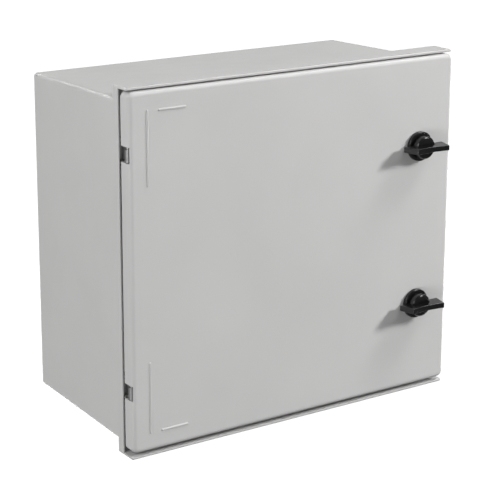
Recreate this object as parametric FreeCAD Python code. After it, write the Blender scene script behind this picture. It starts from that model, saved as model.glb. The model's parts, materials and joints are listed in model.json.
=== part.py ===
import FreeCAD, Part
import math
import os

V = FreeCAD.Vector

# ---------------------------------------------------------------------------
# Frame: millimetres, +Z up, the door faces -Y, the wall is at Y = 0.
# The origin is the centre of the four wall holes on the back face.
# ---------------------------------------------------------------------------

# Driving dimensions
width = 500.0                 # over the rim, left to right
height = 470.0                # over the rim, bottom to top
depth = 252.0                 # wall to the front of the two hoods
wall = 3.5                    # moulded wall of the body and skin of the door
pin_radius = 2.0              # hinge pins
spindle_radius = 6.93         # round part of each latch spindle
latch_spacing = 219.0         # between the two latches

# Cabinet body
back_wall = 4.0
body_draft_side = 6.0         # taper of each side from rim to wall
body_draft_top = 4.0          # taper of top and bottom from rim to wall
body_edge_radius = 5.0
back_edge_radius = 3.0
rim_depth = 33.0
rim_step_side = 0.75          # the sides run almost flush into the rim
rim_step_top = 16.7           # the rim overhangs the top and the bottom
rim_corner_radius = 2.5
rim_edge_radius = 0.9
hood_edge_radius = 1.5         # front edges of the two hoods
rim_floor = 3.0               # floor of the gutter inside the rim
hood_thickness = 3.8          # top and bottom lips, full rim depth
side_lip_thickness = 2.2
side_lip_depth = 11.6         # cut back so that the door can swing round
gutter_width_side = 13.8
gutter_width_top = 13.2
collar_thickness = 3.5        # raised edge that presses into the seal
collar_height = 21.3          # from the back of the rim to the collar's tip
collar_corner_radius = 10.0

# Door
door_proud = 4.0              # front of the door ahead of the hoods
door_depth = 19.1
door_skirt = 3.0
door_gap_top = 1.7
door_gap_bottom = 4.8         # wider, so that water can leave
door_corner_radius = 9.0
door_edge_radius = 6.0
seal_width = 9.0
seal_gap = 0.2                # seal to collar tip in the drawn state
seal_height = 6.5
channel_wall = 1.8
channel_lap = 3.0             # how far the channel walls hold the seal
mark_radius = 1.6             # half-round corner marks on the door's front
mark_height = 1.3
mark_inset = 23.8             # upright marks, from the door's hinge edge
mark_reach = 205.0            # mark corners, above and below the door's middle
mark_upright = 90.8
mark_level = 36.3
mark_level_inset = 40.5

# Hinges
hinge_inset = 4.5             # pin axis from the door's hinge edge
hinge_set_back = 10.5         # pin axis behind the door's front
hinge_spacing = 300.2
hinge_lift = 1.45             # middle of the hinge pair above the door's middle
notch_half = 10.0
notch_skin = 2.0              # door skin left in front of a notch
knuckle_radius = 4.0
knuckle_top = 6.5
knuckle_bottom = 9.6
arm_thickness = 3.7
arm_reach = 8.0               # arm's outer face from the pin axis
ear_length = 12.0
ear_reach = 5.0
hinge_base_half = 18.0
hinge_base_thickness = 3.0
hinge_screw_offset = 13.6
hinge_screw_radius = 2.0
hinge_screw_head = 3.4
pin_head_lap = 1.2            # pin head beyond the pin, radially
pin_head_height = 1.5
running_gap = 0.06            # radial, pins and spindles in their holes
fixed_gap = 0.02              # radial, pieces that are pressed or glued

# Latches
latch_inset = 56.1            # latch axis from the door's free edge
latch_drop = 0.45             # middle of the latch pair below the door's middle
bezel_radius = 20.0
bezel_thickness = 5.5
bezel_edge_radius = 2.5
bush_radius = 11.0
bush_length = 15.5            # behind the door's front face
gasket_thickness = 1.0
bush_nut_flats = 30.0
bush_nut_thickness = 6.5
knob_gap = 0.3
hub_radius = 15.5
hub_height = 12.0
hub_edge_radius = 6.0
wing_half_back = 32.5         # half length of the wing next to the door
wing_half_front = 26.7        # half length of the wing at its front
wing_back = 2.2               # wing above the bezel's front
wing_front = 26.5
wing_dip = 3.2                # hollow in the middle of the wing's front edge
wing_half_thickness = 3.75
wing_edge_radius = 1.2
cam_gap = 0.3
cam_thickness = 3.0
cam_half_width = 8.0
cam_length = 46.0
cam_stud_radius = 3.0
square_half = 4.0
square_gap = 0.05

# Inside
plate_thickness = 2.0
plate_margin_side = 40.0      # plate edge from the inside of the back corners
plate_margin_top = 21.0
plate_boss_height = 14.0
plate_boss_radius = 7.0
plate_screw_inset = 15.0
wall_hole_radius = 4.25
wall_hole_inset_x = 35.0      # from the rim's outline
wall_hole_inset_z = 50.0
wall_boss_radius = 11.0
wall_boss_height = 6.0
rail_width = 35.0
rail_height = 7.5
rail_sheet = 1.0
rail_web = 25.0
rail_end_gap = 15.0
rail_drop = 45.0              # each rail from the middle of the plate
bar_length = 180.0
bar_width = 12.0
bar_thickness = 4.0
bar_ways = 10
bar_lift = 30.0               # earth bar above the plate's lower edge
support_height = 16.0
support_half = 9.0

# Derived sizes
half_w = width / 2
half_h = height / 2
rim_back = depth - rim_depth
floor_front = rim_back + rim_floor
side_lip_front = rim_back + side_lip_depth
body_front_x = half_w - rim_step_side
body_front_z = half_h - rim_step_top
body_back_x = body_front_x - body_draft_side
body_back_z = body_front_z - body_draft_top
collar_x = half_w - side_lip_thickness - gutter_width_side
collar_z = half_h - hood_thickness - gutter_width_top
opening_x = collar_x - collar_thickness
opening_z = collar_z - collar_thickness
collar_tip = rim_back + collar_height

door_front = depth + door_proud
door_back = door_front - door_depth
door_inner = door_front - wall
door_top = half_h - hood_thickness - door_gap_top
door_bottom = -half_h + hood_thickness + door_gap_bottom
door_middle = (door_top + door_bottom) / 2
door_half_h = (door_top - door_bottom) / 2
seal_x = collar_x - collar_thickness / 2
seal_z = collar_z - collar_thickness / 2
seal_back = collar_tip + seal_gap
seal_seat = seal_back + seal_height
channel_back = seal_seat - channel_lap

hinge_x = -half_w + hinge_inset
hinge_y = -(door_front - hinge_set_back)
hinge_heights = {
    "upper": door_middle + hinge_lift + hinge_spacing / 2,
    "lower": door_middle + hinge_lift - hinge_spacing / 2,
}
hinge_screw_x = (-half_w + side_lip_thickness - collar_x) / 2

latch_x = half_w - latch_inset
latch_heights = {
    "upper": door_middle - latch_drop + latch_spacing / 2,
    "lower": door_middle - latch_drop - latch_spacing / 2,
}
bezel_back = door_front + gasket_thickness
bezel_front = bezel_back + bezel_thickness
cam_front = rim_back - cam_gap
cam_back = cam_front - cam_thickness
bore_radius = spindle_radius + running_gap

plate_back = back_wall + plate_boss_height
plate_front = plate_back + plate_thickness
plate_x = body_back_x - wall - plate_margin_side
plate_z = body_back_z - wall - plate_margin_top
plate_screw_x = plate_x - plate_screw_inset
plate_screw_z = plate_z - plate_screw_inset
wall_hole_x = half_w - wall_hole_inset_x
wall_hole_z = half_h - wall_hole_inset_z
rail_half = plate_x - rail_end_gap
rail_screw_x = rail_half - 20.0
bar_z = -plate_z + bar_lift
bar_support_x = bar_length / 2 - support_half


# ---------------------------------------------------------------------------
# Small helpers
# ---------------------------------------------------------------------------

def box(x0, x1, y0, y1, z0, z1):
    """Solid box between two corners given in any order."""
    low = V(min(x0, x1), min(y0, y1), min(z0, z1))
    size = (abs(x1 - x0), abs(y1 - y0), abs(z1 - z0))
    return Part.makeBox(*size, low)


def rod(radius, depth_from, depth_to, x=0.0, z=0.0):
    """Cylinder along Y between two distances from the wall."""
    start = max(depth_from, depth_to)
    length = abs(depth_to - depth_from)
    return Part.makeCylinder(radius, length, V(x, -start, z), V(0, 1, 0))


def pillar(radius, x, y, z0, z1):
    """Cylinder along Z."""
    return Part.makeCylinder(radius, z1 - z0, V(x, y, z0), V(0, 0, 1))


def rounded_outline(half_x, half_z, radius, distance, middle=0.0):
    """Closed wire of a rectangle with round corners, distance from the wall."""
    y = -distance
    bulge = radius * (1 - math.sqrt(0.5))
    wire_edges = []
    corners = [(1, 1), (-1, 1), (-1, -1), (1, -1)]
    ends = []
    for sx, sz in corners:
        on_side = V(sx * half_x, y, middle + sz * (half_z - radius))
        on_top = V(sx * (half_x - radius), y, middle + sz * half_z)
        centre = V(sx * (half_x - bulge), y, middle + sz * (half_z - bulge))
        first, last = (on_side, on_top) if sx * sz > 0 else (on_top, on_side)
        ends.append((first, centre, last))
    for index, (first, centre, last) in enumerate(ends):
        wire_edges.append(Part.Arc(first, centre, last).toShape())
        following = ends[(index + 1) % 4][0]
        wire_edges.append(Part.makeLine(last, following))
    return Part.Wire(wire_edges)


def slab(half_x, half_z, radius, depth_from, depth_to, middle=0.0):
    """Prism of a rounded rectangle between two distances from the wall."""
    start = max(depth_from, depth_to)
    face = Part.Face(rounded_outline(half_x, half_z, radius, start, middle))
    return face.extrude(V(0, abs(depth_to - depth_from), 0))


def ring(half_x, half_z, radius, thickness, depth_from, depth_to):
    """Rectangular ring with its outer outline given."""
    outer = slab(half_x, half_z, radius, depth_from, depth_to)
    inner_radius = max(radius - thickness, 0.5)
    inner = slab(
        half_x - thickness, half_z - thickness, inner_radius, depth_from - 1, depth_to + 1
    )
    return outer.cut(inner)


def tapered(back, front, radius, depth_back, depth_front):
    """Loft between a rectangle near the wall and one near the door."""
    outlines = [
        rounded_outline(back[0], back[1], radius, depth_back),
        rounded_outline(front[0], front[1], radius, depth_front),
    ]
    return Part.makeLoft(outlines, True, True)


def hexagon(flats, depth_from, depth_to, x, z, bore):
    """Hexagonal nut along Y with a round bore."""
    corner = flats / math.sqrt(3)
    start = max(depth_from, depth_to)
    points = []
    for step in range(7):
        angle = math.radians(60 * step)
        points.append(V(x + corner * math.cos(angle), -start, z + corner * math.sin(angle)))
    prism = Part.Face(Part.makePolygon(points)).extrude(V(0, abs(depth_to - depth_from), 0))
    return prism.cut(rod(bore, depth_from - 1, depth_to + 1, x, z))


def washer(outer, inner, depth_from, depth_to, x, z):
    """Flat ring along Y."""
    disc = rod(outer, depth_from, depth_to, x, z)
    return disc.cut(rod(inner, min(depth_from, depth_to) - 1, max(depth_from, depth_to) + 1, x, z))


def pan_screw(shank, head, head_height, seat, length, x, z):
    """Screw driven towards the wall: domed head in front of the seat, cross slot in it."""
    body = rod(shank, seat - length, seat, x, z)
    top = rod(head, seat, seat + head_height, x, z)
    rim_edge = [edge for edge in top.Edges if abs(edge.BoundBox.YMin + seat + head_height) < 1e-6
                and edge.BoundBox.YLength < 1e-6]
    top = top.makeFillet(head_height * 0.45, rim_edge)
    slot_half = head * 0.12
    slot_reach = head * 0.62
    slot_floor = seat + head_height * 0.45
    slot_top = seat + head_height + 1
    slot = box(x - slot_reach, x + slot_reach, -slot_floor, -slot_top, z - slot_half, z + slot_half)
    cross = box(x - slot_half, x + slot_half, -slot_floor, -slot_top, z - slot_reach, z + slot_reach)
    return body.fuse(top).cut(slot.fuse(cross)).removeSplitter()


def group(solids):
    """Several separate solids kept as one node."""
    return Part.makeCompound(solids)


def flat_edges(shape, distance, inside_x=None):
    """Edges that lie flat at one distance from the wall."""
    found = []
    for edge in shape.Edges:
        bounds = edge.BoundBox
        at_distance = abs(bounds.YMin + distance) < 1e-4 and bounds.YLength < 1e-4
        if at_distance and (inside_x is None or bounds.XMin > inside_x):
            found.append(edge)
    return found


# ---------------------------------------------------------------------------
# Cabinet
# ---------------------------------------------------------------------------

def body_shell():
    """Tapered box, open at the front."""
    outer = tapered((body_back_x, body_back_z), (body_front_x, body_front_z),
                    body_edge_radius, 0.0, rim_back)
    outer = outer.makeFillet(back_edge_radius, flat_edges(outer, 0.0))
    taper = back_wall / rim_back
    inner_back = (body_back_x - wall + body_draft_side * taper,
                  body_back_z - wall + body_draft_top * taper)
    inner_front = (body_front_x - wall, body_front_z - wall)
    inner = tapered(inner_back, inner_front, body_edge_radius - 2.0, back_wall, rim_back)
    return outer.cut(inner)


def hood(side):
    """Deep lip along the top (side 1) or the bottom (side -1) of the rim."""
    inside = half_h - hood_thickness
    lip = box(-half_w, half_w, -rim_back, -depth, side * inside, side * half_h)
    outer_corners = [edge for edge in lip.Edges
                     if edge.BoundBox.YLength > 1 and abs(edge.CenterOfMass.z) > half_h - 1e-3]
    lip = lip.makeFillet(rim_corner_radius, outer_corners)
    return lip.makeFillet(hood_edge_radius, flat_edges(lip, depth))


def rim():
    """Gutter floor, short side lips, deep top and bottom hoods and the seal collar."""
    frame = slab(half_w, half_h, rim_corner_radius, rim_back, side_lip_front)
    frame = frame.makeFillet(rim_edge_radius, flat_edges(frame, side_lip_front))
    frame = frame.cut(slab(half_w - side_lip_thickness, half_h - hood_thickness, 1.0,
                           floor_front, depth + 1))
    frame = frame.cut(slab(opening_x, opening_z, collar_corner_radius - collar_thickness,
                           rim_back - 1, depth))
    collar = ring(collar_x, collar_z, collar_corner_radius, collar_thickness,
                  floor_front - 0.5, collar_tip)
    return frame.fuse(collar).fuse(hood(1)).fuse(hood(-1))


def hinge_boss(z):
    """Block behind the gutter floor that takes the screws of one hinge."""
    inner_wall = -(body_front_x - wall + 1.0)
    return box(inner_wall, -collar_x, -(rim_back + 0.5), -(rim_back - 14.0),
               z - hinge_base_half, z + hinge_base_half)


def cabinet_body():
    """Moulded cabinet with its rim, its bosses and all its holes."""
    shape = body_shell().fuse(rim())
    for sx in (-1, 1):
        for sz in (-1, 1):
            shape = shape.fuse(rod(plate_boss_radius, back_wall - 1, plate_back,
                                   sx * plate_screw_x, sz * plate_screw_z))
            shape = shape.fuse(rod(wall_boss_radius, back_wall - 1, back_wall + wall_boss_height,
                                   sx * wall_hole_x, sz * wall_hole_z))
    for z in hinge_heights.values():
        shape = shape.fuse(hinge_boss(z))
    for sx in (-1, 1):
        for sz in (-1, 1):
            shape = shape.cut(rod(3.0, back_wall + 1, plate_back + 1,
                                  sx * plate_screw_x, sz * plate_screw_z))
            shape = shape.cut(rod(wall_hole_radius, -1, back_wall + wall_boss_height + 1,
                                  sx * wall_hole_x, sz * wall_hole_z))
    for z in hinge_heights.values():
        for offset in (-hinge_screw_offset, hinge_screw_offset):
            shape = shape.cut(rod(hinge_screw_radius + 0.1, floor_front + 1, rim_back - 12.0,
                                  hinge_screw_x, z + offset))
    return shape.removeSplitter()


def hinge_bracket(z):
    """Fixed half of a hinge: base on the gutter floor, arm, knuckle round the pin."""
    low = z - knuckle_bottom
    high = z + knuckle_top
    base_front = floor_front + hinge_base_thickness
    base = box(hinge_screw_x - 6.0, hinge_screw_x + 6.0, -floor_front, -base_front,
               z - hinge_base_half, z + hinge_base_half)
    arm_out = hinge_x + arm_reach
    arm_in = arm_out - arm_thickness
    outline = [
        V(hinge_x, hinge_y - knuckle_radius, low),
        V(arm_in, hinge_y - knuckle_radius, low),
        V(arm_out, hinge_y - 1.5, low),
        V(arm_out, -base_front + 0.5, low),
        V(arm_in, -base_front + 0.5, low),
        V(arm_in, hinge_y + knuckle_radius, low),
        V(hinge_x, hinge_y + knuckle_radius, low),
    ]
    outline.append(outline[0])
    arm = Part.Face(Part.makePolygon(outline)).extrude(V(0, 0, high - low))
    knuckle = pillar(knuckle_radius, hinge_x, hinge_y, low, high)
    shape = base.fuse(arm).fuse(knuckle)
    shape = shape.cut(pillar(pin_radius + running_gap, hinge_x, hinge_y, low - 1, high + 1))
    for offset in (-hinge_screw_offset, hinge_screw_offset):
        shape = shape.cut(rod(hinge_screw_radius + 0.2, floor_front - 1, base_front + 1,
                              hinge_screw_x, z + offset))
    return shape.removeSplitter()


def hinge_screws():
    """Four screws that hold the hinge brackets."""
    seat = floor_front + hinge_base_thickness
    screws = []
    for z in hinge_heights.values():
        for offset in (-hinge_screw_offset, hinge_screw_offset):
            screws.append(pan_screw(hinge_screw_radius, hinge_screw_head, 2.4, seat, 13.0,
                                    hinge_screw_x, z + offset))
    return group(screws)


# ---------------------------------------------------------------------------
# Inside
# ---------------------------------------------------------------------------

def mounting_plate():
    """Steel plate on the four bosses."""
    shape = slab(plate_x, plate_z, 6.0, plate_back, plate_front)
    for sx in (-1, 1):
        for sz in (-1, 1):
            shape = shape.cut(rod(3.3, plate_back - 1, plate_front + 1,
                                  sx * plate_screw_x, sz * plate_screw_z))
        for sz in (-1, 1):
            shape = shape.cut(rod(2.6, plate_back - 1, plate_front + 1,
                                  sx * rail_screw_x, sz * rail_drop))
        shape = shape.cut(rod(2.6, plate_back - 1, plate_front + 1,
                              sx * bar_support_x, bar_z))
    return shape


def plate_fixings():
    """Washers and screws at the corners of the plate."""
    washers = []
    screws = []
    for sx in (-1, 1):
        for sz in (-1, 1):
            x = sx * plate_screw_x
            z = sz * plate_screw_z
            washers.append(washer(6.5, 3.2, plate_front, plate_front + 1.6, x, z))
            screws.append(pan_screw(2.9, 5.5, 3.6, plate_front + 1.6, 15.0, x, z))
    return group(washers), group(screws)


def din_rail(z):
    """Top-hat rail, 35 mm by 7.5 mm, screwed on the plate."""
    start = -rail_half
    y_web = -plate_front
    y_step = -(plate_front + rail_sheet)
    y_lip = -(plate_front + rail_height - rail_sheet)
    y_top = -(plate_front + rail_height)
    web = rail_web / 2
    lip = rail_width / 2
    outline = [
        V(start, y_web, z - web), V(start, y_web, z + web),
        V(start, y_lip, z + web), V(start, y_lip, z + lip),
        V(start, y_top, z + lip), V(start, y_top, z + web - rail_sheet),
        V(start, y_step, z + web - rail_sheet), V(start, y_step, z - web + rail_sheet),
        V(start, y_top, z - web + rail_sheet), V(start, y_top, z - lip),
        V(start, y_lip, z - lip), V(start, y_lip, z - web),
    ]
    outline.append(outline[0])
    shape = Part.Face(Part.makePolygon(outline)).extrude(V(2 * rail_half, 0, 0))
    for sx in (-1, 1):
        shape = shape.cut(rod(2.7, plate_front - 1, plate_front + 3, sx * rail_screw_x, z))
    return shape


def rail_screws():
    """Four screws that hold the rails on the plate."""
    seat = plate_front + rail_sheet
    return group([pan_screw(2.4, 4.5, 3.0, seat, 8.0, sx * rail_screw_x, sz * rail_drop)
                  for sx in (-1, 1) for sz in (-1, 1)])


def bar_supports():
    """Two insulating blocks that hold the earth bar off the plate."""
    blocks = []
    for sx in (-1, 1):
        x = sx * bar_support_x
        block = box(x - support_half, x + support_half, -plate_front,
                    -(plate_front + support_height), bar_z - support_half, bar_z + support_half)
        uprights = [edge for edge in block.Edges if edge.BoundBox.YLength > support_height / 2]
        block = block.makeFillet(2.5, uprights)
        blocks.append(block.cut(rod(2.6, plate_front - 1, plate_front + support_height + 1,
                                    x, bar_z)))
    return group(blocks)


def earth_bar():
    """Brass bar with a clamp screw hole for each way."""
    back = plate_front + support_height
    half = bar_width / 2
    shape = box(-bar_length / 2, bar_length / 2, -back, -(back + bar_thickness),
                bar_z - half, bar_z + half)
    for sx in (-1, 1):
        shape = shape.cut(rod(2.6, back - 1, back + bar_thickness + 1, sx * bar_support_x, bar_z))
    for x in way_positions():
        shape = shape.cut(rod(2.1, back - 1, back + bar_thickness + 1, x, bar_z))
    return shape


def way_positions():
    """Places of the clamp screws along the earth bar."""
    span = bar_length - 4 * support_half - 12.0
    pitch = span / (bar_ways - 1)
    return [-span / 2 + pitch * way for way in range(bar_ways)]


def bar_screws():
    """Two long screws through the bar and its supports into the plate."""
    seat = plate_front + support_height + bar_thickness
    length = support_height + bar_thickness + plate_thickness + 4.0
    return group([pan_screw(2.4, 4.6, 3.0, seat, length, sx * bar_support_x, bar_z)
                  for sx in (-1, 1)])


def clamp_screws():
    """One clamp screw for each way of the earth bar."""
    seat = plate_front + support_height + bar_thickness
    return group([pan_screw(2.0, 3.8, 3.2, seat + 1.0, bar_thickness + 6.0, x, bar_z)
                  for x in way_positions()])


# ---------------------------------------------------------------------------
# Door
# ---------------------------------------------------------------------------

def door_pan():
    """Pan of the door: front skin with rounded edges and a skirt on four sides."""
    outer = slab(half_w, door_half_h, door_corner_radius, door_back, door_front, door_middle)
    outer = outer.makeFillet(door_edge_radius, flat_edges(outer, door_front))
    pocket = slab(half_w - door_skirt, door_half_h - door_skirt, door_corner_radius - door_skirt,
                  door_back - 1, door_inner, door_middle)
    pocket = pocket.makeFillet(door_edge_radius - door_skirt, flat_edges(pocket, door_inner))
    return outer.cut(pocket)


def seal_seat_ring():
    """Seat and two low walls that hold the seal in the door."""
    reach = seal_width / 2 + 0.1
    outer = reach + channel_wall
    corner = collar_corner_radius + outer - collar_thickness / 2
    block = ring(seal_x + outer, seal_z + outer, corner, 2 * outer, channel_back, door_inner + 0.5)
    corner = collar_corner_radius + reach - collar_thickness / 2
    slot = ring(seal_x + reach, seal_z + reach, corner, 2 * reach, channel_back - 1, seal_seat)
    return block.cut(slot)


def door_seal():
    """Closed ring of foam; the collar presses on its rounded back."""
    half = seal_width / 2
    corner = collar_corner_radius + half - collar_thickness / 2
    shape = ring(seal_x + half, seal_z + half, corner, seal_width, seal_back, seal_seat)
    return shape.makeFillet(1.8, flat_edges(shape, seal_back))


def ear_block(z0, z1):
    """Moulded ear that joins the pin to the skirt and the skin of the door."""
    return box(-half_w + 1.0, hinge_x + ear_reach, -(door_inner + 0.5), hinge_y + 4.5, z0, z1)


def bead(first, last):
    """Half-round bead between two points, with round ends."""
    along = last.sub(first)
    shape = Part.makeCylinder(mark_radius, along.Length, first, along)
    for end in (first, last):
        shape = shape.fuse(Part.makeSphere(mark_radius, end))
    return shape


def door_marks():
    """Raised marks in the two corners on the hinge side."""
    axis = -(door_front + mark_height - mark_radius)
    marks = []
    for side in (-1, 1):
        corner = door_middle + side * (mark_reach - mark_radius)
        upright_x = -half_w + mark_inset + mark_radius
        level_x = -half_w + mark_level_inset + mark_radius
        marks.append(bead(V(upright_x, axis, corner),
                          V(upright_x, axis, corner - side * mark_upright)))
        marks.append(bead(V(level_x, axis, corner), V(level_x + mark_level, axis, corner)))
    return marks


def door_panel():
    """Moulded door with seal channel, hinge ears, latch pads and corner marks."""
    shape = door_pan().fuse(seal_seat_ring())
    for z in latch_heights.values():
        shape = shape.fuse(rod(bush_nut_flats / 2 + 5.0, door_inner - 1.5, door_inner + 0.5,
                               latch_x, z))
    for z in hinge_heights.values():
        shape = shape.fuse(ear_block(z + notch_half, z + notch_half + ear_length))
        shape = shape.fuse(ear_block(z - notch_half - ear_length, z - notch_half))
    for z in hinge_heights.values():
        cleared = hinge_x + arm_reach + 0.7
        shape = shape.cut(box(-half_w - 1, cleared, -(door_front - notch_skin), -door_back + 1,
                              z - notch_half, z + notch_half))
        reach = notch_half + ear_length
        shape = shape.cut(pillar(pin_radius + fixed_gap, hinge_x, hinge_y,
                                 z - reach + 2.0, z + reach + 1))
        shape = shape.cut(pillar(pin_radius + pin_head_lap + 0.1, hinge_x, hinge_y,
                                 z + reach, z + reach + pin_head_height + 0.5))
    for z in latch_heights.values():
        shape = shape.cut(rod(bush_radius + 0.2, door_inner - 3, door_front + 1, latch_x, z))
    for mark in door_marks():
        shape = shape.fuse(mark)
    return shape.removeSplitter()


def hinge_pin(z):
    """Pin dropped in from above; it turns with the door."""
    reach = notch_half + ear_length
    shaft = pillar(pin_radius, hinge_x, hinge_y, z - reach + 2.2, z + reach)
    head = pillar(pin_radius + pin_head_lap, hinge_x, hinge_y,
                  z + reach, z + reach + pin_head_height)
    return shaft.fuse(head).removeSplitter()


# ---------------------------------------------------------------------------
# Latches
# ---------------------------------------------------------------------------

def latch_bezel(z):
    """Fixed round base of a latch with its threaded bush through the door."""
    disc = rod(bezel_radius, bezel_back, bezel_front, latch_x, z)
    disc = disc.makeFillet(bezel_edge_radius, flat_edges(disc, bezel_front))
    bush = rod(bush_radius, door_front - bush_length, bezel_back + 0.5, latch_x, z)
    bore = rod(bore_radius, door_front - bush_length - 1, bezel_front + 1, latch_x, z)
    return disc.fuse(bush).cut(bore).removeSplitter()


def bezel_gasket(z):
    """Flat ring between the bezel and the door."""
    return washer(bezel_radius - 2.0, bush_radius + 0.1, door_front, bezel_back, latch_x, z)


def bush_nut(z):
    """Large thin nut that clamps the bush behind the door."""
    seat = door_inner - 1.5
    return hexagon(bush_nut_flats, seat - bush_nut_thickness, seat, latch_x, z,
                   bush_radius + fixed_gap)


def knob_hub(z):
    """Domed hub of a knob."""
    start = bezel_front + knob_gap
    hub = rod(hub_radius, start, start + hub_height, latch_x, z)
    return hub.makeFillet(hub_edge_radius, flat_edges(hub, start + hub_height))


def knob_wing(z):
    """Level wing through the hub, with a hollow front edge."""
    back = -(bezel_front + wing_back)
    front = -(bezel_front + wing_front)
    low = z - wing_half_thickness
    first = V(latch_x - wing_half_front, front, low)
    dip = V(latch_x, front + wing_dip, low)
    last = V(latch_x + wing_half_front, front, low)
    back_right = V(latch_x + wing_half_back, back, low)
    back_left = V(latch_x - wing_half_back, back, low)
    outline = Part.Wire([
        Part.Arc(first, dip, last).toShape(),
        Part.makeLine(last, back_right),
        Part.makeLine(back_right, back_left),
        Part.makeLine(back_left, first),
    ])
    wing = Part.Face(outline).extrude(V(0, 0, 2 * wing_half_thickness))
    return wing.makeFillet(wing_edge_radius, wing.Edges)


def latch_knob(z):
    """Hand knob with a square socket for the spindle."""
    shape = knob_hub(z).fuse(knob_wing(z))
    start = bezel_front + knob_gap
    half = square_half + square_gap
    socket = box(latch_x - half, latch_x + half, -(start - 1), -(start + 8.0), z - half, z + half)
    return shape.cut(socket).removeSplitter()


def seal_groove_depth():
    """Distance from the wall to the middle of the spindle's seal groove."""
    return door_inner - 2.0


def latch_spindle(z):
    """Spindle: square in the knob, round in the bush, square and stud for the cam."""
    start = bezel_front + knob_gap
    shaft = rod(spindle_radius, cam_front, start, latch_x, z)
    drive = box(latch_x - square_half, latch_x + square_half, -(start - 0.5), -(start + 7.5),
                z - square_half, z + square_half)
    seat = box(latch_x - square_half, latch_x + square_half, -(cam_front + 0.5), -cam_back,
               z - square_half, z + square_half)
    stud = rod(cam_stud_radius, cam_back - 9.0, cam_back + 0.5, latch_x, z)
    shape = shaft.fuse(drive).fuse(seat).fuse(stud)
    middle = seal_groove_depth()
    groove = washer(spindle_radius + 1, spindle_radius - 1.7, middle - 1.1, middle + 1.1,
                    latch_x, z)
    return shape.cut(groove).removeSplitter()


def spindle_seal(z):
    """Ring in the spindle's groove."""
    thickness = 0.85
    centre = V(latch_x, -seal_groove_depth(), z)
    return Part.makeTorus(spindle_radius - thickness, thickness - 0.02, centre, V(0, 1, 0))


def latch_cam(z):
    """Flat tongue that hooks behind the rim."""
    nose = cam_length - cam_half_width / 2
    tongue = box(latch_x, latch_x + nose, -cam_front, -cam_back,
                 z - cam_half_width, z + cam_half_width)
    tip = box(latch_x + nose - 1, latch_x + cam_length, -cam_front, -cam_back,
              z - cam_half_width, z + cam_half_width)
    tongue = tongue.fuse(tip).removeSplitter()
    corners = [edge for edge in tongue.Edges
               if edge.BoundBox.YLength > cam_thickness / 2
               and edge.BoundBox.XMin > latch_x + nose]
    tongue = tongue.makeFillet(cam_half_width / 2, corners)
    heel = rod(cam_half_width + 3.0, cam_back, cam_front, latch_x, z)
    half = square_half + square_gap
    hole = box(latch_x - half, latch_x + half, -(cam_back - 1), -(cam_front + 1),
               z - half, z + half)
    return tongue.fuse(heel).cut(hole).removeSplitter()


def cam_washer(z):
    """Washer under the cam's nut."""
    return washer(7.5, cam_stud_radius + 0.15, cam_back - 1.4, cam_back, latch_x, z)


def cam_nut(z):
    """Nut on the spindle's stud."""
    return hexagon(10.0, cam_back - 6.4, cam_back - 1.4, latch_x, z, cam_stud_radius + fixed_gap)


# ---------------------------------------------------------------------------
# All nodes
# ---------------------------------------------------------------------------

def all_nodes():
    """Every node of the cabinet by name."""
    washers, screws = plate_fixings()
    nodes = {
        "cabinet_body": cabinet_body(),
        "mounting_plate": mounting_plate(),
        "plate_washers": washers,
        "plate_screws": screws,
        "upper_din_rail": din_rail(rail_drop),
        "lower_din_rail": din_rail(-rail_drop),
        "rail_screws": rail_screws(),
        "earth_bar_supports": bar_supports(),
        "earth_bar": earth_bar(),
        "earth_bar_screws": bar_screws(),
        "earth_clamp_screws": clamp_screws(),
        "hinge_screws": hinge_screws(),
        "door_panel": door_panel(),
        "door_seal": door_seal(),
    }
    for place, z in hinge_heights.items():
        nodes[place + "_hinge_bracket"] = hinge_bracket(z)
        nodes[place + "_hinge_pin"] = hinge_pin(z)
    for place, z in latch_heights.items():
        nodes[place + "_latch_bezel"] = latch_bezel(z)
        nodes[place + "_bezel_gasket"] = bezel_gasket(z)
        nodes[place + "_bush_nut"] = bush_nut(z)
        nodes[place + "_knob"] = latch_knob(z)
        nodes[place + "_spindle"] = latch_spindle(z)
        nodes[place + "_spindle_seal"] = spindle_seal(z)
        nodes[place + "_cam"] = latch_cam(z)
        nodes[place + "_cam_washer"] = cam_washer(z)
        nodes[place + "_cam_nut"] = cam_nut(z)
    return nodes


os.makedirs("parts", exist_ok=True)
for name, shape in all_nodes().items():
    shape.exportStep("parts/" + name + ".step")
    bounds = shape.BoundBox
    print(name, "solids", len(shape.Solids), "valid", shape.isValid(),
          "volume %.0f" % shape.Volume,
          "x %.1f..%.1f" % (bounds.XMin, bounds.XMax),
          "y %.1f..%.1f" % (bounds.YMin, bounds.YMax),
          "z %.1f..%.1f" % (bounds.ZMin, bounds.ZMax))
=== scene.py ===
"""Studio scene of a moulded wall cabinet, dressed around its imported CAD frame.

Every length is in metres, in the frame of the CAD model: the wall is at Y = 0, the door faces
-Y and Z points up.
"""

import json
import logging
import math
from dataclasses import dataclass
from enum import Enum

import bmesh
import bpy
from mathutils import Matrix, Vector


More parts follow.
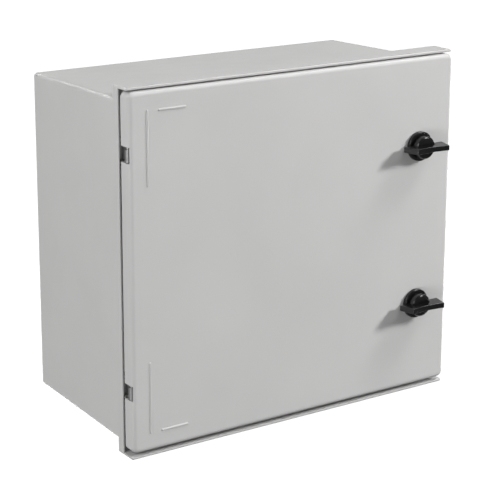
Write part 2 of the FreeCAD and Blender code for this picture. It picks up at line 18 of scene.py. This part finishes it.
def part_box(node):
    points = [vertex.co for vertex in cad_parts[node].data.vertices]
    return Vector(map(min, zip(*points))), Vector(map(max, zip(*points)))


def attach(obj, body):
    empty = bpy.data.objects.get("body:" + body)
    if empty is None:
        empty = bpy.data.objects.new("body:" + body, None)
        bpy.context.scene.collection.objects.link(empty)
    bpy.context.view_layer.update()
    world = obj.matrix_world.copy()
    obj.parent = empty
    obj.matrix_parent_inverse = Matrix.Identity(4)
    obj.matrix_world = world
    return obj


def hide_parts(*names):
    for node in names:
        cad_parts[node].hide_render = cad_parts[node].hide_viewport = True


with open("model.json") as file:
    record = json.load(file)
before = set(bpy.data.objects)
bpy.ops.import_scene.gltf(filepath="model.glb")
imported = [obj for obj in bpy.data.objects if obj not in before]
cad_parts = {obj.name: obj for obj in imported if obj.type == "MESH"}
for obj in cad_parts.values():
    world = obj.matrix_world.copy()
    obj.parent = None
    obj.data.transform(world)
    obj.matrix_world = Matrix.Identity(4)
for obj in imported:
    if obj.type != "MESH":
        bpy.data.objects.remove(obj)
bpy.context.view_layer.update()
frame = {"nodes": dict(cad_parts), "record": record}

log = logging.getLogger("cabinet")

Colour = tuple[float, float, float]
Place = tuple[float, float, float]
Span = tuple[float, float]

MERGE_DISTANCE = 1e-6
WHOLE_SPAN: Span = (0.0, 1.0)
NOISE_SPAN: Span = (0.3, 0.7)  # a noise pattern mostly keeps to this part of 0 to 1


class Body(Enum):
    """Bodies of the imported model."""

    CABINET = "cabinet"
    DOOR = "door"
    UPPER_HANDLE = "upper_handle"
    LOWER_HANDLE = "lower_handle"


class Level(Enum):
    """The two levels at which the latches repeat."""

    UPPER = "upper"
    LOWER = "lower"


# ---------------------------------------------------------------------------
# Finishes
# ---------------------------------------------------------------------------


class ShaderGraph:
    """Node tree of one material, built round a principled shader."""

    def __init__(self, name: str) -> None:
        """Makes the material and its pattern coordinates.

        Args:
            name: Name of the new material.
        """
        self.material = bpy.data.materials.new(name)
        self.material.use_nodes = True
        self.tree = self.material.node_tree
        self.tree.nodes.clear()
        self.shader = self.add("ShaderNodeBsdfPrincipled")
        output = self.add("ShaderNodeOutputMaterial")
        self.tree.links.new(self.shader.outputs["BSDF"], output.inputs["Surface"])
        self.place = self.add("ShaderNodeTexCoord").outputs["Object"]

    def add(self, kind: str, **inputs: object) -> bpy.types.Node:
        """Adds a node.

        Args:
            kind: Blender's name of the node type.
            **inputs: Values for its inputs, with underscores for spaces.

        Returns:
            The new node.
        """
        node = self.tree.nodes.new(kind)
        for name, value in inputs.items():
            node.inputs[name.replace("_", " ")].default_value = value
        return node

    def set(self, **inputs: object) -> None:
        """Sets the shader's own sockets.

        Args:
            **inputs: Values by socket name, with underscores for spaces.
        """
        for name, value in inputs.items():
            self.shader.inputs[name.replace("_", " ")].default_value = value

    def drive(self, socket: str, source: bpy.types.NodeSocket) -> None:
        """Links a pattern to one of the shader's sockets.

        Args:
            socket: Name of the shader's input.
            source: Output that feeds it.
        """
        self.tree.links.new(source, self.shader.inputs[socket])

    def stretched(self, scale: Place) -> bpy.types.NodeSocket:
        """Scales the pattern coordinates by axis.

        Args:
            scale: Factor along each axis.

        Returns:
            The scaled coordinates.
        """
        mapping = self.add("ShaderNodeMapping", Scale=scale)
        self.tree.links.new(self.place, mapping.inputs["Vector"])
        return mapping.outputs["Vector"]

    def noise(self, pitch: float, detail: float = 2.0,
              place: bpy.types.NodeSocket | None = None) -> bpy.types.NodeSocket:
        """Adds a noise pattern between 0 and 1.

        Args:
            pitch: Size of its features.
            detail: Number of finer layers.
            place: Coordinates to read, or None for the object's own.

        Returns:
            The pattern's value.
        """
        node = self.add("ShaderNodeTexNoise", Scale=1.0 / pitch, Detail=detail)
        self.tree.links.new(place or self.place, node.inputs["Vector"])
        return node.outputs["Fac"]

    def cells(self, pitch: float) -> bpy.types.Node:
        """Adds a cell pattern, such as foam pores or zinc spangle.

        Args:
            pitch: Size of a cell.

        Returns:
            The pattern's node, with its Distance and Color outputs.
        """
        node = self.add("ShaderNodeTexVoronoi", Scale=1.0 / pitch)
        self.tree.links.new(self.place, node.inputs["Vector"])
        return node

    def spread(self, value: bpy.types.NodeSocket, target: Span,
               source: Span = NOISE_SPAN) -> bpy.types.NodeSocket:
        """Maps a pattern's range to another, and holds it there.

        Args:
            value: Pattern to map.
            target: Values that the ends of its range become.
            source: Low and high end of its own range.

        Returns:
            The mapped value.
        """
        node = self.add("ShaderNodeMapRange", From_Min=source[0], From_Max=source[1],
                        To_Min=target[0], To_Max=target[1])
        self.tree.links.new(value, node.inputs["Value"])
        return node.outputs["Result"]

    def tint(self, colour: Colour, shades: Span, pattern: bpy.types.NodeSocket) -> None:
        """Varies the base colour with a pattern.

        Args:
            colour: Mean colour.
            shades: Factors on the colour where the pattern is 0 and where it is 1.
            pattern: Pattern from 0 to 1.
        """
        ramp = self.add("ShaderNodeValToRGB")
        for stop, factor in zip(ramp.color_ramp.elements, shades):
            stop.color = (*(min(1.0, channel * factor) for channel in colour), 1.0)
        self.tree.links.new(pattern, ramp.inputs["Fac"])
        self.drive("Base Color", ramp.outputs["Color"])

    def relief(self, pattern: bpy.types.NodeSocket, depth: float) -> None:
        """Raises the surface with a pattern.

        Args:
            pattern: Pattern from 0 to 1.
            depth: Height of the relief.
        """
        bump = self.add("ShaderNodeBump", Distance=depth)
        self.tree.links.new(pattern, bump.inputs["Height"])
        self.drive("Normal", bump.outputs["Normal"])


@dataclass(frozen=True)
class Finish:
    """Procedural finish of one material slot."""

    name: str
    colour: Colour

    def build(self) -> bpy.types.Material:
        """Builds the material.

        Returns:
            The material, named after its slot.
        """
        graph = ShaderGraph(self.name)
        self.paint(graph)
        return graph.material

    def paint(self, graph: ShaderGraph) -> None:
        """Adds the finish to a material; each kind of finish has its own way.

        Args:
            graph: Material to paint.
        """
        raise NotImplementedError


@dataclass(frozen=True)
class MouldedPlastic(Finish):
    """Moulded plastic with a fine eroded grain and slight cloudiness."""

    cloudiness: float = 0.02
    cloud_pitch: float = 0.12
    grain_pitch: float = 0.0009
    grain_depth: float = 0.00002
    gloss_pitch: float = 0.02
    gloss_range: Span = (0.38, 0.48)
    specular: float = 0.4

    def paint(self, graph: ShaderGraph) -> None:
        """Adds clouded colour, grain and uneven gloss.

        Args:
            graph: Material to paint.
        """
        cloud = graph.spread(graph.noise(self.cloud_pitch, detail=3.0), WHOLE_SPAN)
        gloss = graph.spread(graph.noise(self.gloss_pitch, detail=4.0), self.gloss_range)
        graph.tint(self.colour, (1.0 - self.cloudiness, 1.0 + self.cloudiness), cloud)
        graph.drive("Roughness", gloss)
        graph.relief(graph.noise(self.grain_pitch, detail=3.0), self.grain_depth)
        graph.set(Specular_IOR_Level=self.specular)


@dataclass(frozen=True)
class Foam(Finish):
    """Closed-cell foam or rubber with open pores at its cut faces."""

    pore_pitch: float = 0.0012
    pore_depth: float = 0.00015
    # Tint factors at a pore's centre and at its rim: painted shade in the pores, lighter
    # between them
    pore_painted_shade: Span = (0.5, 1.5)
    roughness: float = 0.85
    specular: float = 0.3

    def paint(self, graph: ShaderGraph) -> None:
        """Adds pores that lie deeper, darkened towards their centres with painted shade and
        lighter towards the cell walls.

        Args:
            graph: Material to paint.
        """
        pores = graph.cells(self.pore_pitch).outputs["Distance"]
        # Painted shade: the tint darkens each pore towards its centre, where the relief sinks
        # it deepest
        graph.tint(self.colour, self.pore_painted_shade, pores)
        graph.relief(pores, self.pore_depth)
        graph.set(Roughness=self.roughness, Specular_IOR_Level=self.specular)


@dataclass(frozen=True)
class GalvanisedSheet(Finish):
    """Hot-dip galvanised sheet with soft spangle."""

    spangle_pitch: float = 0.012
    spangle_shades: Span = (0.86, 1.1)
    gloss_range: Span = (0.34, 0.5)
    ripple_pitch: float = 0.004
    ripple_depth: float = 0.00003

    def paint(self, graph: ShaderGraph) -> None:
        """Adds crystals that differ in tone and gloss.

        Args:
            graph: Material to paint.
        """
        spangle = graph.cells(self.spangle_pitch).outputs["Color"]
        graph.tint(self.colour, self.spangle_shades, spangle)
        graph.drive("Roughness", graph.spread(spangle, self.gloss_range, WHOLE_SPAN))
        graph.relief(graph.noise(self.ripple_pitch, detail=3.0), self.ripple_depth)
        graph.set(Metallic=1.0)


@dataclass(frozen=True)
class BrushedMetal(Finish):
    """Drawn or rolled metal with fine lines along one axis."""

    along: Place = (0.03, 1.0, 1.0)
    line_pitch: float = 0.0006
    line_depth: float = 0.00002
    line_shades: Span = (0.88, 1.08)
    handling_pitch: float = 0.015
    gloss_range: Span = (0.26, 0.42)

    def paint(self, graph: ShaderGraph) -> None:
        """Adds lines in tone and relief, and gloss that is uneven from handling.

        Args:
            graph: Material to paint.
        """
        lines = graph.noise(self.line_pitch, place=graph.stretched(self.along))
        handling = graph.noise(self.handling_pitch, detail=4.0)
        graph.tint(self.colour, self.line_shades, lines)
        graph.drive("Roughness", graph.spread(handling, self.gloss_range))
        graph.relief(lines, self.line_depth)
        graph.set(Metallic=1.0)


@dataclass(frozen=True)
class CastMetal(Finish):
    """Die-cast metal with a dull, slightly pitted skin."""

    mottle_pitch: float = 0.003
    mottle_shades: Span = (0.75, 1.2)
    gloss_range: Span = (0.45, 0.65)
    pit_pitch: float = 0.0007
    pit_depth: float = 0.00004
    metallic: float = 0.9

    def paint(self, graph: ShaderGraph) -> None:
        """Adds mottled tone over a pitted skin.

        Args:
            graph: Material to paint.
        """
        mottle = graph.noise(self.mottle_pitch, detail=5.0)
        graph.tint(self.colour, self.mottle_shades, mottle)
        graph.drive("Roughness", graph.spread(mottle, self.gloss_range))
        graph.relief(graph.noise(self.pit_pitch), self.pit_depth)
        graph.set(Metallic=self.metallic)


@dataclass(frozen=True)
class Finishes:
    """The finishes of the cabinet, named after the record's material slots."""

    kinds: tuple[Finish, ...] = (
        MouldedPlastic("body_plastic", (0.6, 0.597, 0.592)),
        MouldedPlastic("door_plastic", (0.605, 0.602, 0.598)),
        Foam("seal_foam", (0.02, 0.02, 0.02)),
        Foam("seal_rubber", (0.018, 0.018, 0.018), pore_pitch=0.0005, pore_depth=0.00002,
             roughness=0.6),
        GalvanisedSheet("plate_steel", (0.62, 0.63, 0.64)),
        BrushedMetal("rail_steel", (0.66, 0.66, 0.65)),
        BrushedMetal("fixing_steel", (0.64, 0.64, 0.62), along=(1.0, 0.2, 1.0)),
        CastMetal("hinge_zinc", (0.36, 0.36, 0.36)),
        BrushedMetal("pin_steel", (0.6, 0.6, 0.6), along=(1.0, 1.0, 0.05)),
        MouldedPlastic("support_plastic", (0.10, 0.16, 0.12), cloudiness=0.1),
        BrushedMetal("bar_brass", (0.72, 0.55, 0.26)),
        MouldedPlastic("latch_black", (0.006, 0.006, 0.0065), cloudiness=0.25,
                       grain_depth=0.00001, gloss_range=(0.2, 0.3), specular=0.5),
        MouldedPlastic("knob_black", (0.006, 0.006, 0.0065), cloudiness=0.3,
                       grain_depth=0.00001, gloss_range=(0.17, 0.27), specular=0.55),
        MouldedPlastic("nut_plastic", (0.03, 0.03, 0.03), cloudiness=0.2),
    )

    def build(self) -> dict[str, bpy.types.Material]:
        """Builds every finish.

        Returns:
            The materials by slot name.
        """
        return {kind.name: kind.build() for kind in self.kinds}


# ---------------------------------------------------------------------------
# Pieces that keep their CAD shape
# ---------------------------------------------------------------------------


@dataclass(frozen=True)
class CarriedBody:
    """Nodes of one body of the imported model, carried over as they are."""

    body: Body

    def dress(self, materials: dict[str, bpy.types.Material]) -> None:
        """Gives each node of the body the finish that the record names for it.

        Args:
            materials: Finishes by slot name.
        """
        record = frame["record"]
        slots = {part["node"]: part["material_slot"] for part in record["subparts"]}
        for node in record["behaviour"]["bodies"][self.body.value]:
            for entry in frame["nodes"][node].material_slots:
                entry.material = materials[slots[node]]
            log.info("dressed %s as %s", node, slots[node])


# ---------------------------------------------------------------------------
# New pieces
# ---------------------------------------------------------------------------


def set_corner_normals(data: bpy.types.Mesh, crease: float) -> None:
    """Keeps flat faces flat beside rounded edges, and edges over the crease angle sharp.

    Args:
        data: Mesh to shade.
        crease: Largest angle in degrees that is shaded smooth.
    """
    data.shade_smooth()
    mesh = bmesh.new()
    mesh.from_mesh(data)
    limit = math.radians(crease)
    normals = []
    for face in mesh.faces:
        for corner in face.loops:
            total = Vector()
            for near in corner.vert.link_faces:
                if near.normal.angle(face.normal, math.pi) < limit:
                    total += near.normal * near.calc_area()
            normals.append(total.normalized())
    mesh.free()
    data.normals_split_custom_set(normals)


def make_piece(name: str, mesh: bmesh.types.BMesh) -> bpy.types.Object:
    """Turns a finished bmesh into an object of the scene.

    Args:
        name: Name of the piece.
        mesh: Its shape, which is freed.

    Returns:
        The new object, at the origin.
    """
    bmesh.ops.remove_doubles(mesh, verts=mesh.verts, dist=MERGE_DISTANCE)
    bmesh.ops.recalc_face_normals(mesh, faces=mesh.faces)
    data = bpy.data.meshes.new(name)
    mesh.to_mesh(data)
    mesh.free()
    piece = bpy.data.objects.new(name, data)
    bpy.context.scene.collection.objects.link(piece)
    return piece


def turn_profile(mesh: bmesh.types.BMesh, profile: list[Span], steps: int) -> None:
    """Turns a profile about the local Z axis.

    Args:
        mesh: Mesh that takes the new faces.
        profile: Radius and height of each point, from pole to pole.
        steps: Number of steps round the axis.
    """
    points = [mesh.verts.new((radius, 0.0, height)) for radius, height in profile]
    edges = [mesh.edges.new(pair) for pair in zip(points, points[1:])]
    bmesh.ops.spin(mesh, geom=points + edges, axis=(0.0, 0.0, 1.0), cent=(0.0, 0.0, 0.0),
                   angle=math.tau, steps=steps, use_merge=True)
    bmesh.ops.remove_doubles(mesh, verts=mesh.verts, dist=MERGE_DISTANCE)


def arc(centre: Span, radius: float, start: float, end: float, steps: int) -> list[Span]:
    """Lays points on an arc of a profile.

    Args:
        centre: Radius and height of the arc's centre.
        radius: Radius of the arc.
        start: Angle in degrees where it starts.
        end: Angle in degrees where it ends.
        steps: Number of steps along it.

    Returns:
        Radius and height of each point.
    """
    turns = [math.radians(start + (end - start) * i / steps) for i in range(steps + 1)]
    return [(centre[0] + radius * math.cos(t), centre[1] + radius * math.sin(t)) for t in turns]


@dataclass
class Knob:
    """Wing knob of one latch, modelled about its own axis and then set on the door."""

    level: Level
    hub_radius: float = 0.0155
    hub_height: float = 0.0120
    hub_round: float = 0.0055
    hub_steps: int = 96
    dome_sweep: float = 84.0  # degrees of rounding before the top runs flat
    dome_steps: int = 14
    foot_height: float = 0.0012
    foot_inset: float = 0.0004
    foot_round: float = 0.0004
    lip_round: float = 0.0003
    lip_rise: float = 0.0006
    rim_steps: int = 4
    wing_back: float = 0.0325  # half length next to the door
    wing_front: float = 0.0267  # half length at the front
    wing_foot: float = 0.0019
    wing_reach: float = 0.0258
    wing_dip: float = 0.0032
    wing_half: float = 0.00375
    wing_steps: int = 24
    wing_chamfer: float = 0.0012
    chamfer_steps: int = 3
    sharp_angle: float = 40.0
    root_fillet: float = 0.0007
    fillet_steps: int = 2
    crease: float = 32.0

    @property
    def node(self) -> str:
        """Name of the CAD node that this knob stands for."""
        return f"{self.level.value}_knob"

    def hub(self) -> bmesh.types.BMesh:
        """Makes the hub: a low dome on a foot that is set in a little.

        Returns:
            The hub about the Z axis, with its foot at 0.
        """
        foot_radius = self.hub_radius - self.foot_inset
        foot_centre = (foot_radius - self.foot_round, self.foot_round)
        lip_centre = (self.hub_radius - self.lip_round, self.foot_height + self.lip_rise)
        dome_centre = (self.hub_radius - self.hub_round, self.hub_height - self.hub_round)
        profile = [(0.0, 0.0), (foot_centre[0], 0.0)]
        profile += arc(foot_centre, self.foot_round, -90.0, 0.0, self.rim_steps)
        profile += [(foot_radius, self.foot_height)]
        profile += arc(lip_centre, self.lip_round, -90.0, 0.0, self.rim_steps)
        profile += arc(dome_centre, self.hub_round, 0.0, self.dome_sweep, self.dome_steps)
        profile += [(0.0, self.hub_height)]
        mesh = bmesh.new()
        turn_profile(mesh, profile, self.hub_steps)
        return mesh

    def wing(self) -> bmesh.types.BMesh:
        """Makes the wing: a level bar with a hollow front and chamfered edges.

        Returns:
            The wing, with its length along X and its reach along Z.
        """
        mesh = bmesh.new()
        bmesh.ops.create_cube(mesh, size=1.0)
        # X runs from -1 to 1 here, so that it is each point's share of the half length.
        bmesh.ops.scale(mesh, verts=mesh.verts,
                        vec=(2.0, 2.0 * self.wing_half, self.wing_reach - self.wing_foot))
        lengthwise = [edge for edge in mesh.edges
                      if edge.verts[0].co.x * edge.verts[1].co.x < 0.0]
        bmesh.ops.subdivide_edges(mesh, edges=lengthwise, cuts=self.wing_steps - 1,
                                  use_grid_fill=True)
        hollow = (self.wing_front ** 2 + self.wing_dip ** 2) / (2.0 * self.wing_dip)
        for vert in mesh.verts:
            front = vert.co.z > 0.0
            vert.co.x *= self.wing_front if front else self.wing_back
            vert.co.z += (self.wing_reach + self.wing_foot) / 2.0
            if front:
                rise = math.sqrt(hollow ** 2 - vert.co.x ** 2)
                vert.co.z -= rise - (hollow - self.wing_dip)
        limit = math.radians(self.sharp_angle)
        sharp = [edge for edge in mesh.edges if edge.calc_face_angle(0.0) > limit]
        bmesh.ops.bevel(mesh, geom=sharp, offset=self.wing_chamfer, offset_type="OFFSET",
                        affect="EDGES", segments=self.chamfer_steps, profile=0.5,
                        material=-1)
        return mesh

    def moulding(self) -> bmesh.types.BMesh:
        """Joins hub and wing into one shape, with a fillet where they meet.

        Returns:
            The knob about the Z axis.
        """
        hub = make_piece(self.node + "_hub", self.hub())
        wing = make_piece(self.node + "_wing", self.wing())
        for marker, part in enumerate((hub, wing)):
            part.data.materials.append(None)
            part.data.materials.append(None)
            for face in part.data.polygons:
                face.material_index = marker
        union = hub.modifiers.new("union", "BOOLEAN")
        union.operation = "UNION"
        union.solver = "EXACT"
        union.object = wing
        graph = bpy.context.evaluated_depsgraph_get()
        joined = bpy.data.meshes.new_from_object(hub.evaluated_get(graph))
        for spare in (hub, wing):
            bpy.data.objects.remove(spare)
        mesh = bmesh.new()
        mesh.from_mesh(joined)
        roots = [edge for edge in mesh.edges
                 if len({face.material_index for face in edge.link_faces}) == 2]
        bmesh.ops.bevel(mesh, geom=roots, offset=self.root_fillet, offset_type="OFFSET",
                        affect="EDGES", segments=self.fillet_steps, profile=0.5,
                        material=-1, clamp_overlap=True)
        for face in mesh.faces:
            face.material_index = 0
        return mesh

    def build(self, material: bpy.types.Material) -> bpy.types.Object:
        """Builds the knob and sets it on its latch.

        Args:
            material: Finish of the knob.

        Returns:
            The knob.
        """
        low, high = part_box(self.node)
        mesh = self.moulding()
        bmesh.ops.rotate(mesh, verts=mesh.verts, matrix=Matrix.Rotation(math.pi / 2, 3, "X"))
        bmesh.ops.translate(mesh, verts=mesh.verts, vec=(
            (low.x + high.x) / 2.0, high.y, (low.z + high.z) / 2.0))
        knob = make_piece(self.node + "_moulding", mesh)
        set_corner_normals(knob.data, self.crease)
        knob.data.materials.clear()
        knob.data.materials.append(material)
        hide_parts(self.node)
        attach(knob, f"{self.level.value}_handle")
        return knob


# ---------------------------------------------------------------------------
# Studio
# ---------------------------------------------------------------------------


@dataclass
class Lamp:
    """Soft square light that faces its aim from a given direction."""

    name: str
    direction: Place
    strength: float
    size: float
    distance: float = 3.2
    aim: Place = (0.0, -0.2, 0.0)
    glossy: bool = True

    def build(self) -> None:
        """Adds the light to the scene.

        Its strength is what it adds to a surface that faces it, where an even white
        surround adds 1.
        """
        data = bpy.data.lights.new(self.name, "AREA")
        data.shape = "SQUARE"
        data.size = self.size
        data.energy = self.strength * (math.pi * self.distance) ** 2
        lamp = bpy.data.objects.new(self.name, data)
        direction = Vector(self.direction).normalized()
        lamp.location = Vector(self.aim) + direction * self.distance
        lamp.rotation_euler = direction.to_track_quat("Z", "Y").to_euler()
        lamp.visible_glossy = self.glossy
        lamp.visible_camera = False
        bpy.context.scene.collection.objects.link(lamp)


@dataclass
class Studio:
    """White studio: camera, floor, tent, surround and soft lights."""

    camera_place: Place = (-1.2229, -1.9381, 0.6088)
    azimuth: float = 34.261
    tilt: float = 14.351
    roll: float = 0.174
    lens: float = 121.36
    sensor: float = 36.0
    rise: float = -0.12
    clip: Span = (0.05, 200.0)
    floor_drop: float = 4.0
    stage_radius: float = 30.0
    tent_height: float = 60.0
    tent_sides: int = 64
    stage_tone: float = 0.9
    stage_roughness: float = 0.9
    stage_glow: float = 1.0
    surround: float = 0.15
    lamps: tuple[Lamp, ...] = (
        Lamp("key", (1.15, -1.0, 0.88), 0.80, 0.5, aim=(0.15, -0.2, -0.25), glossy=False),
        Lamp("top_box", (0.55, -0.25, 0.8), 0.45, 1.6, distance=5.0),
        Lamp("left_front", (-0.82, -0.55, -0.15), 0.34, 0.9),
        Lamp("side_fill", (-1.0, 0.0, 0.5), 0.38, 1.0, distance=2.4, aim=(0.0, -0.2, 0.15)),
        Lamp("rear_top", (-0.23, 0.8, 0.53), 0.20, 0.6),
        Lamp("rear_low", (0.1, 1.0, -0.6), 0.34, 1.6),
        Lamp("right_side", (0.97, 0.12, -0.25), 0.22, 0.9),
        Lamp("underside", (0.2, 0.4, -1.0), 0.20, 1.6),
    )

    def build(self) -> None:
        """Builds the studio round the cabinet."""
        self.place_camera()
        self.build_stage()
        self.light_surround()
        for lamp in self.lamps:
            lamp.build()
            log.info("lit %s", lamp.name)

    def place_camera(self) -> None:
        """Sets up the camera and makes it the scene's own."""
        data = bpy.data.cameras.new("camera")
        data.sensor_width = self.sensor
        data.lens = self.lens
        data.shift_y = self.rise
        data.clip_start, data.clip_end = self.clip
        camera = bpy.data.objects.new("camera", data)
        turn, dip = math.radians(self.azimuth), math.radians(self.tilt)
        forward = Vector((math.sin(turn) * math.cos(dip), math.cos(turn) * math.cos(dip),
                          -math.sin(dip)))
        right = Vector((math.cos(turn), -math.sin(turn), 0.0))
        up = right.cross(forward)
        axes = Matrix((right, up, -forward)).transposed()
        axes = axes @ Matrix.Rotation(math.radians(self.roll), 3, "Z")
        camera.matrix_world = Matrix.Translation(self.camera_place) @ axes.to_4x4()
        bpy.context.scene.collection.objects.link(camera)
        bpy.context.scene.camera = camera

    def build_stage(self) -> None:
        """Lays a plain white floor below the cabinet and stands a round tent on it."""
        graph = ShaderGraph("studio_white")
        graph.set(Base_Color=(self.stage_tone, self.stage_tone, self.stage_tone, 1.0),
                  Roughness=self.stage_roughness, Emission_Color=(1.0, 1.0, 1.0, 1.0),
                  Emission_Strength=self.stage_glow)
        floor = bmesh.new()
        bmesh.ops.create_grid(floor, x_segments=1, y_segments=1, size=self.stage_radius)
        bmesh.ops.translate(floor, verts=floor.verts, vec=(0.0, 0.0, -self.floor_drop))
        self.add_sheet("floor", floor, graph.material)
        tent = bmesh.new()
        bmesh.ops.create_cone(tent, segments=self.tent_sides, radius1=self.stage_radius,
                              radius2=0.0, depth=self.tent_height)
        bmesh.ops.translate(tent, verts=tent.verts,
                            vec=(0.0, 0.0, self.tent_height / 2.0 - self.floor_drop))
        bmesh.ops.reverse_faces(tent, faces=tent.faces)
        self.add_sheet("tent", tent, graph.material)

    @staticmethod
    def add_sheet(name: str, mesh: bmesh.types.BMesh, material: bpy.types.Material) -> None:
        """Adds a sheet that only the camera sees, so that it neither lights nor shades.

        Args:
            name: Name of the sheet.
            mesh: Its shape, which is freed.
            material: Its finish.
        """
        data = bpy.data.meshes.new(name)
        mesh.to_mesh(data)
        mesh.free()
        data.materials.append(material)
        sheet = bpy.data.objects.new(name, data)
        sheet.visible_diffuse = False
        sheet.visible_glossy = False
        sheet.visible_shadow = False
        bpy.context.scene.collection.objects.link(sheet)

    def light_surround(self) -> None:
        """Lights the cabinet evenly from all round and shows colours as they are."""
        world = bpy.data.worlds.new("surround")
        world.use_nodes = True
        background = world.node_tree.nodes["Background"]
        background.inputs["Color"].default_value = (1.0, 1.0, 1.0, 1.0)
        background.inputs["Strength"].default_value = self.surround
        bpy.context.scene.world = world
        bpy.context.scene.view_settings.view_transform = "Standard"


def main() -> None:
    """Builds the studio, the finishes, the knobs and the carried-over bodies."""
    logging.basicConfig(level=logging.INFO, format="%(name)s: %(message)s")
    Studio().build()
    materials = Finishes().build()
    for level in Level:
        knob = Knob(level).build(materials["knob_black"])
        log.info("built %s", knob.name)
    for body in Body:
        CarriedBody(body).dress(materials)


if __name__ == "__main__":
    main()
